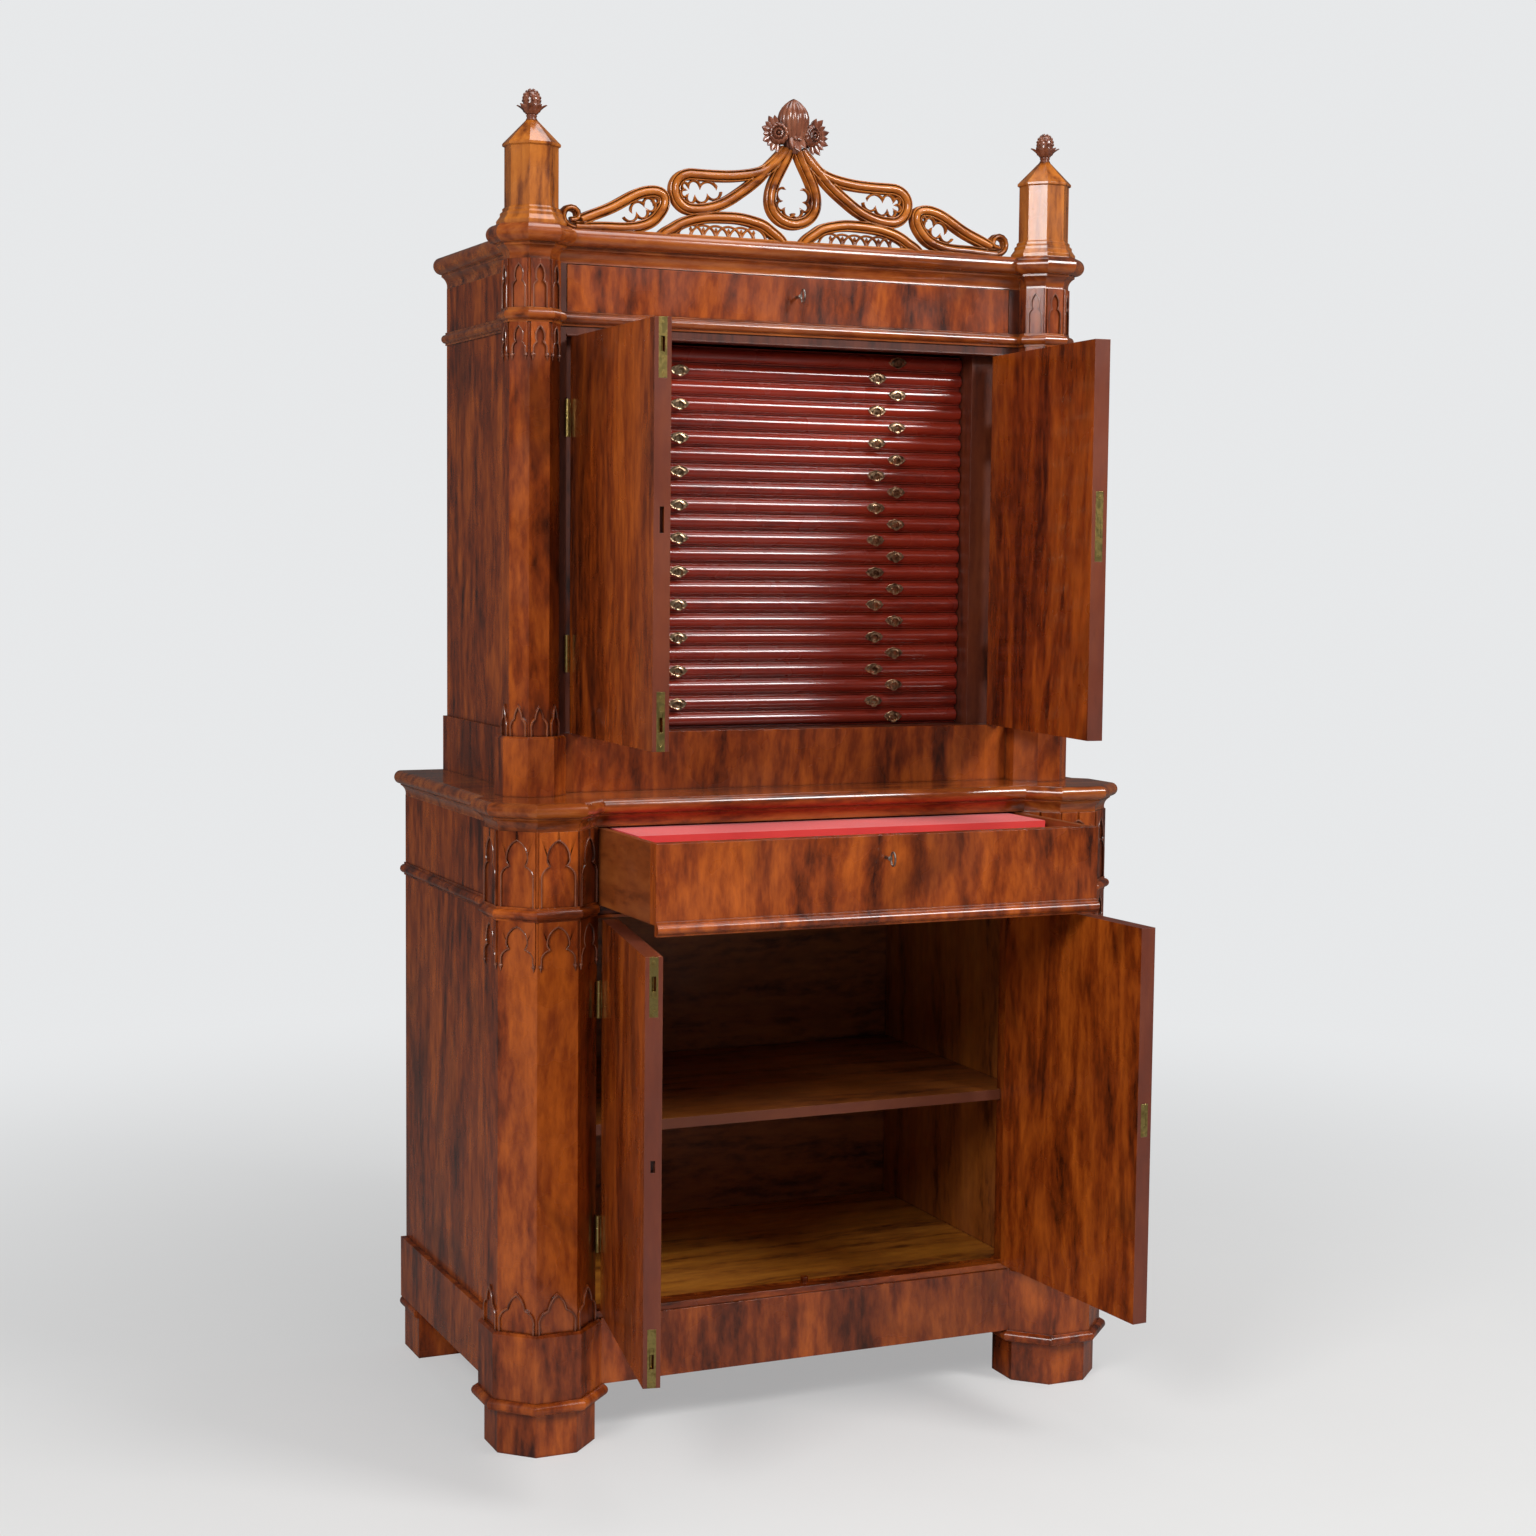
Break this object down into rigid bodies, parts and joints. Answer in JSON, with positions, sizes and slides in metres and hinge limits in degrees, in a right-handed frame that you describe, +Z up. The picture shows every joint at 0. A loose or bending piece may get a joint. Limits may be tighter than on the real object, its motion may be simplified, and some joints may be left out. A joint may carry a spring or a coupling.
{
  "type": "collector's cabinet",
  "caption": "Gothic Revival mahogany collector's cabinet: columned base with drawer and paired doors, upper case of shallow drawers behind paired doors, turrets and openwork crest.",
  "frame": {"origin": "on the floor, below the middle of the bounding box of the cabinet with its doors open and the lower drawer pulled out, as stored", "axes": "+Z up, the front faces -Y, +X to the right of someone who looks at the front"},
  "size_m": [1.22, 1.0538, 2.3294],
  "materials": {
    "mahogany": "french polished, figured",
    "golden_mahogany": "waxed, carved",
    "red_mahogany": "french polished",
    "drawer_lining": "waxed",
    "pine": "oiled, knotty",
    "brass": "aged, polished on the edges",
    "steel": "dulled",
    "red_cloth": "close woven, matt"
  },
  "bodies": {
    "case": {"feet": "mahogany", "lower_plinth": "mahogany", "lower_columns": "mahogany", "lower_side_panels": "mahogany", "lower_back_panel": "pine", "lower_boards": "pine", "lower_band": "mahogany", "lower_column_tracery": "mahogany", "top_slab": "mahogany", "upper_plinth": "mahogany", "upper_columns": "mahogany", "upper_side_panels": "mahogany", "upper_back_panel": "pine", "upper_boards": "mahogany", "drawer_runners": "pine", "upper_band": "mahogany", "upper_column_tracery": "mahogany", "cornice": "mahogany", "turrets": "mahogany", "crest": "golden_mahogany", "door_hinges": "brass"},
    "lower_drawer": {"lower_drawer_front": "mahogany", "lower_drawer_box": "drawer_lining", "lower_drawer_tray": "red_cloth"},
    "upper_drawer": {"upper_drawer": "mahogany"},
    "lower_drawer_key": {"lower_drawer_key": "steel"},
    "upper_drawer_key": {"upper_drawer_key": "steel"},
    "lower_left_door": {"lower_left_door": "mahogany"},
    "lower_right_door": {"lower_right_door": "mahogany"},
    "upper_left_door": {"upper_left_door": "mahogany"},
    "upper_right_door": {"upper_right_door": "mahogany"},
    "lower_left_top_bolt": {"lower_left_top_bolt": "brass"},
    "lower_left_bottom_bolt": {"lower_left_bottom_bolt": "brass"},
    "upper_left_top_bolt": {"upper_left_top_bolt": "brass"},
    "upper_left_bottom_bolt": {"upper_left_bottom_bolt": "brass"},
    "lower_lock_bolt": {"lower_lock_bolt": "brass"},
    "upper_lock_bolt": {"upper_lock_bolt": "brass"},
    "inner_drawer_01": {"inner_drawer_01": "red_mahogany"},
    "inner_drawer_02": {"inner_drawer_02": "red_mahogany"},
    "inner_drawer_03": {"inner_drawer_03": "red_mahogany"},
    "inner_drawer_04": {"inner_drawer_04": "red_mahogany"},
    "inner_drawer_05": {"inner_drawer_05": "red_mahogany"},
    "inner_drawer_06": {"inner_drawer_06": "red_mahogany"},
    "inner_drawer_07": {"inner_drawer_07": "red_mahogany"},
    "inner_drawer_08": {"inner_drawer_08": "red_mahogany"},
    "inner_drawer_09": {"inner_drawer_09": "red_mahogany"},
    "inner_drawer_10": {"inner_drawer_10": "red_mahogany"},
    "inner_drawer_11": {"inner_drawer_11": "red_mahogany"},
    "inner_drawer_12": {"inner_drawer_12": "red_mahogany"},
    "inner_drawer_13": {"inner_drawer_13": "red_mahogany"},
    "inner_drawer_14": {"inner_drawer_14": "red_mahogany"},
    "inner_drawer_15": {"inner_drawer_15": "red_mahogany"},
    "inner_drawer_16": {"inner_drawer_16": "red_mahogany"},
    "inner_drawer_17": {"inner_drawer_17": "red_mahogany"},
    "inner_drawer_18": {"inner_drawer_18": "red_mahogany"},
    "inner_drawer_19": {"inner_drawer_19": "red_mahogany"},
    "inner_drawer_20": {"inner_drawer_20": "red_mahogany"},
    "inner_drawer_21": {"inner_drawer_21": "red_mahogany"},
    "inner_drawer_22": {"inner_drawer_22": "red_mahogany"},
    "inner_drawer_23": {"inner_drawer_23": "red_mahogany"}
  },
  "joints": [
    {"name": "lower_left_door_hinge", "type": "hinge", "parent": "case", "child": "lower_left_door", "pos_m": [-0.41125, -0.1151, 0.225], "axis": [0, 0, -1], "range_deg": [-101, 9]},
    {"name": "lower_right_door_hinge", "type": "hinge", "parent": "case", "child": "lower_right_door", "pos_m": [0.41125, -0.1151, 0.225], "axis": [0, 0, 1], "range_deg": [-94, 16]},
    {"name": "upper_left_door_hinge", "type": "hinge", "parent": "case", "child": "upper_left_door", "pos_m": [-0.42965, 0.0009, 1.2155], "axis": [0, 0, -1], "range_deg": [-92, 18]},
    {"name": "upper_right_door_hinge", "type": "hinge", "parent": "case", "child": "upper_right_door", "pos_m": [0.42965, 0.0009, 1.2155], "axis": [0, 0, 1], "range_deg": [-84.5, 25.5]},
    {"name": "lower_left_top_bolt_slide", "type": "slide", "parent": "lower_left_door", "child": "lower_left_top_bolt", "axis": [0, 0, 1], "range_m": [0, 0.012]},
    {"name": "lower_left_bottom_bolt_slide", "type": "slide", "parent": "lower_left_door", "child": "lower_left_bottom_bolt", "axis": [0, 0, -1], "range_m": [0, 0.012]},
    {"name": "upper_left_top_bolt_slide", "type": "slide", "parent": "upper_left_door", "child": "upper_left_top_bolt", "axis": [0, 0, 1], "range_m": [0, 0.012]},
    {"name": "upper_left_bottom_bolt_slide", "type": "slide", "parent": "upper_left_door", "child": "upper_left_bottom_bolt", "axis": [0, 0, -1], "range_m": [0, 0.012]},
    {"name": "lower_lock_bolt_slide", "type": "slide", "parent": "lower_right_door", "child": "lower_lock_bolt", "axis": [0.0698, -0.9976, 0], "range_m": [0, 0.009]},
    {"name": "upper_lock_bolt_slide", "type": "slide", "parent": "upper_right_door", "child": "upper_lock_bolt", "axis": [-0.0958, -0.9954, 0], "range_m": [0, 0.009]},
    {"name": "lower_drawer_slide", "type": "slide", "parent": "case", "child": "lower_drawer", "axis": [0, -1, 0], "range_m": [-0.265, 0.115]},
    {"name": "upper_drawer_slide", "type": "slide", "parent": "case", "child": "upper_drawer", "axis": [0, -1, 0], "range_m": [0, 0.3]},
    {"name": "lower_drawer_key_turn", "type": "hinge", "parent": "lower_drawer", "child": "lower_drawer_key", "pos_m": [0, -0.3751, 1.0269], "axis": [0, 1, 0], "range_deg": [0, 180]},
    {"name": "upper_drawer_key_turn", "type": "hinge", "parent": "upper_drawer", "child": "upper_drawer_key", "pos_m": [0, 0.0059, 1.98136], "axis": [0, 1, 0], "range_deg": [0, 180]},
    {"name": "inner_drawer_01_slide", "type": "slide", "parent": "case", "child": "inner_drawer_01", "axis": [0, -1, 0], "range_m": [0, 0.3]},
    {"name": "inner_drawer_02_slide", "type": "slide", "parent": "case", "child": "inner_drawer_02", "axis": [0, -1, 0], "range_m": [0, 0.3]},
    {"name": "inner_drawer_03_slide", "type": "slide", "parent": "case", "child": "inner_drawer_03", "axis": [0, -1, 0], "range_m": [0, 0.3]},
    {"name": "inner_drawer_04_slide", "type": "slide", "parent": "case", "child": "inner_drawer_04", "axis": [0, -1, 0], "range_m": [0, 0.3]},
    {"name": "inner_drawer_05_slide", "type": "slide", "parent": "case", "child": "inner_drawer_05", "axis": [0, -1, 0], "range_m": [0, 0.3]},
    {"name": "inner_drawer_06_slide", "type": "slide", "parent": "case", "child": "inner_drawer_06", "axis": [0, -1, 0], "range_m": [0, 0.3]},
    {"name": "inner_drawer_07_slide", "type": "slide", "parent": "case", "child": "inner_drawer_07", "axis": [0, -1, 0], "range_m": [0, 0.3]},
    {"name": "inner_drawer_08_slide", "type": "slide", "parent": "case", "child": "inner_drawer_08", "axis": [0, -1, 0], "range_m": [0, 0.3]},
    {"name": "inner_drawer_09_slide", "type": "slide", "parent": "case", "child": "inner_drawer_09", "axis": [0, -1, 0], "range_m": [0, 0.3]},
    {"name": "inner_drawer_10_slide", "type": "slide", "parent": "case", "child": "inner_drawer_10", "axis": [0, -1, 0], "range_m": [0, 0.3]},
    {"name": "inner_drawer_11_slide", "type": "slide", "parent": "case", "child": "inner_drawer_11", "axis": [0, -1, 0], "range_m": [0, 0.3]},
    {"name": "inner_drawer_12_slide", "type": "slide", "parent": "case", "child": "inner_drawer_12", "axis": [0, -1, 0], "range_m": [0, 0.3]},
    {"name": "inner_drawer_13_slide", "type": "slide", "parent": "case", "child": "inner_drawer_13", "axis": [0, -1, 0], "range_m": [0, 0.3]},
    {"name": "inner_drawer_14_slide", "type": "slide", "parent": "case", "child": "inner_drawer_14", "axis": [0, -1, 0], "range_m": [0, 0.3]},
    {"name": "inner_drawer_15_slide", "type": "slide", "parent": "case", "child": "inner_drawer_15", "axis": [0, -1, 0], "range_m": [0, 0.3]},
    {"name": "inner_drawer_16_slide", "type": "slide", "parent": "case", "child": "inner_drawer_16", "axis": [0, -1, 0], "range_m": [0, 0.3]},
    {"name": "inner_drawer_17_slide", "type": "slide", "parent": "case", "child": "inner_drawer_17", "axis": [0, -1, 0], "range_m": [0, 0.3]},
    {"name": "inner_drawer_18_slide", "type": "slide", "parent": "case", "child": "inner_drawer_18", "axis": [0, -1, 0], "range_m": [0, 0.3]},
    {"name": "inner_drawer_19_slide", "type": "slide", "parent": "case", "child": "inner_drawer_19", "axis": [0, -1, 0], "range_m": [0, 0.3]},
    {"name": "inner_drawer_20_slide", "type": "slide", "parent": "case", "child": "inner_drawer_20", "axis": [0, -1, 0], "range_m": [0, 0.3]},
    {"name": "inner_drawer_21_slide", "type": "slide", "parent": "case", "child": "inner_drawer_21", "axis": [0, -1, 0], "range_m": [0, 0.3]},
    {"name": "inner_drawer_22_slide", "type": "slide", "parent": "case", "child": "inner_drawer_22", "axis": [0, -1, 0], "range_m": [0, 0.3]},
    {"name": "inner_drawer_23_slide", "type": "slide", "parent": "case", "child": "inner_drawer_23", "axis": [0, -1, 0], "range_m": [0, 0.3]}
  ]
}
